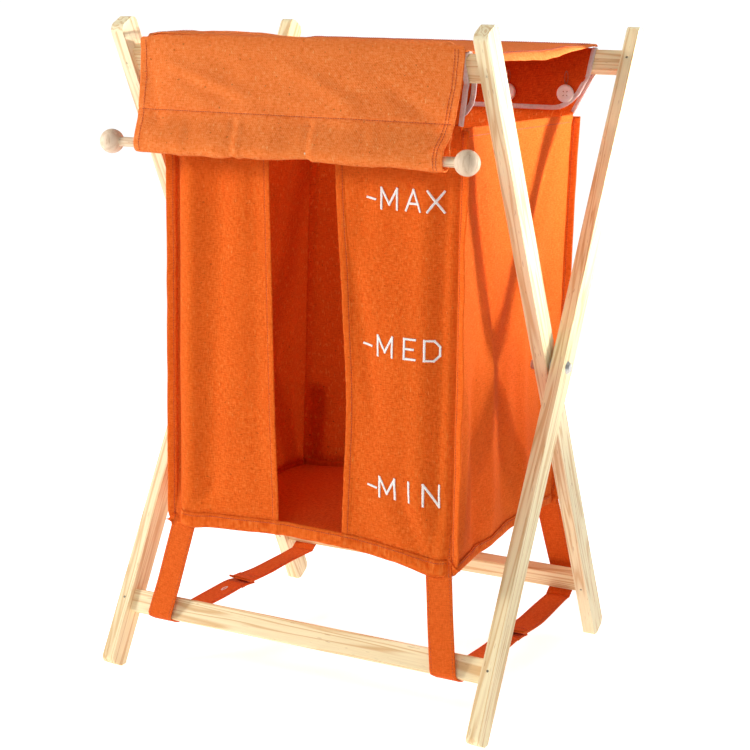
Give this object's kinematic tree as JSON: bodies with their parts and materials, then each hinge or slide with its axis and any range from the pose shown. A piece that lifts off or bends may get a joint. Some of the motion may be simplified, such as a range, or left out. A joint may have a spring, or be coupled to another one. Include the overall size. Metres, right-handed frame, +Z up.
{
  "type": "folding laundry hamper",
  "caption": "Free-standing laundry hamper: a canvas bag with a front slot hangs between two crossed wooden frames that fold flat, under a cloth lid weighted by a dowel.",
  "frame": {"origin": "centre of the footprint, on the floor that the four feet stand on", "axes": "+Z up, -Y towards the front with the slot and the lid's dowel, +X to the right seen from the front"},
  "size_m": [0.4594, 0.4154, 0.7051],
  "materials": {
    "frame_wood": "bare planed pine with a fine straight grain, satin",
    "dowel_wood": "turned pale wood, smooth satin",
    "nail_steel": "small nail heads set flush",
    "pivot_steel": "zinc plated steel, dull",
    "button_plastic": "off-white moulded plastic",
    "binding_cotton": "pale cotton tape",
    "strap_canvas": "orange cotton canvas, folded and stitched",
    "lid_canvas": "orange cotton canvas, plain weave",
    "bag_canvas": "orange cotton canvas, plain weave"
  },
  "bodies": {
    "outer_frame": {"outer_leg_left": "frame_wood", "outer_leg_right": "frame_wood", "top_rear_bar": "frame_wood", "bottom_front_bar": "frame_wood", "outer_nails": "nail_steel", "pivot_bolt_left": "pivot_steel", "pivot_bolt_right": "pivot_steel", "pivot_washer_left": "pivot_steel", "pivot_washer_right": "pivot_steel", "pivot_nut_left": "pivot_steel", "pivot_nut_right": "pivot_steel", "rear_bar_wrap": "bag_canvas", "strap_run_front_left": "strap_canvas", "strap_run_front_right": "strap_canvas", "strap_joint_left": "strap_canvas", "strap_joint_right": "strap_canvas"},
    "inner_frame": {"inner_leg_left": "frame_wood", "inner_leg_right": "frame_wood", "top_front_bar": "frame_wood", "bottom_rear_bar": "frame_wood", "inner_nails": "nail_steel", "front_bar_wrap": "bag_canvas", "strap_run_rear_left": "strap_canvas", "strap_run_rear_right": "strap_canvas"},
    "bag_front": {"bag_front_hem": "bag_canvas", "bag_front_left": "bag_canvas", "bag_front_right": "bag_canvas", "bag_front_yoke": "bag_canvas", "bag_front_seams": "bag_canvas", "front_flap": "bag_canvas", "front_flap_binding": "binding_cotton", "front_buttons": "button_plastic"},
    "bag_rear": {"bag_rear_panel": "bag_canvas", "bag_side_left": "bag_canvas", "bag_side_right": "bag_canvas", "bag_bottom": "bag_canvas", "bag_rear_seams": "bag_canvas", "rear_flap": "bag_canvas", "rear_flap_binding": "binding_cotton", "rear_buttons": "button_plastic"},
    "front_straps": {"strap_drop_front_left": "strap_canvas", "strap_drop_front_right": "strap_canvas"},
    "rear_straps": {"strap_drop_rear_left": "strap_canvas", "strap_drop_rear_right": "strap_canvas"},
    "lid": {"lid_sheet": "lid_canvas"},
    "lid_front": {"lid_drop": "lid_canvas", "lid_sleeve": "lid_canvas"},
    "dowel": {"lid_dowel": "dowel_wood", "knob_left": "dowel_wood", "knob_right": "dowel_wood"}
  },
  "joints": [
    {"name": "frame_fold", "type": "hinge", "parent": "outer_frame", "child": "inner_frame", "pos_m": [0, 0.0072, 0.3545], "axis": [1, 0, 0], "range_deg": [-49, 0], "deforming": ["bag_side_left", "bag_side_right", "bag_bottom", "lid_sheet", "strap_run_front_left", "strap_run_front_right", "strap_run_rear_left", "strap_run_rear_right", "strap_joint_left", "strap_joint_right", "strap_drop_front_left", "strap_drop_front_right", "strap_drop_rear_left", "strap_drop_rear_right"]},
    {"name": "front_panel_hang", "type": "hinge", "parent": "inner_frame", "child": "bag_front", "pos_m": [0, -0.16178, 0.66443], "axis": [1, 0, 0], "range_deg": [0, 24.6]},
    {"name": "rear_panel_hang", "type": "hinge", "parent": "outer_frame", "child": "bag_rear", "pos_m": [0, 0.17714, 0.66618], "axis": [1, 0, 0], "range_deg": [-24.6, 0]},
    {"name": "front_strap_swing", "type": "hinge", "parent": "outer_frame", "child": "front_straps", "pos_m": [0, -0.14933, 0.0674], "axis": [1, 0, 0], "range_deg": [-28.23, 0]},
    {"name": "rear_strap_swing", "type": "hinge", "parent": "inner_frame", "child": "rear_straps", "pos_m": [0, 0.16134, 0.07179], "axis": [1, 0, 0], "range_deg": [0, 27.83]},
    {"name": "lid_open", "type": "hinge", "parent": "bag_front", "child": "lid", "pos_m": [0, 0.1792, 0.6842], "axis": [-1, 0, 0], "range_deg": [0, 205]},
    {"name": "lid_front_swing", "type": "hinge", "parent": "lid", "child": "lid_front", "pos_m": [0, -0.1788, 0.684], "axis": [-1, 0, 0], "range_deg": [0, 95]},
    {"name": "dowel_slide", "type": "slide", "parent": "lid_front", "child": "dowel", "axis": [1, 0, 0], "range_m": [-0.0095, 0.0215]}
  ],
  "couplings": [
    {"joint": "front_panel_hang", "follows": "frame_fold", "ratio": -0.5},
    {"joint": "rear_panel_hang", "follows": "frame_fold", "ratio": 0.5},
    {"joint": "front_strap_swing", "follows": "frame_fold", "ratio": 0.574},
    {"joint": "rear_strap_swing", "follows": "frame_fold", "ratio": -0.566}
  ]
}
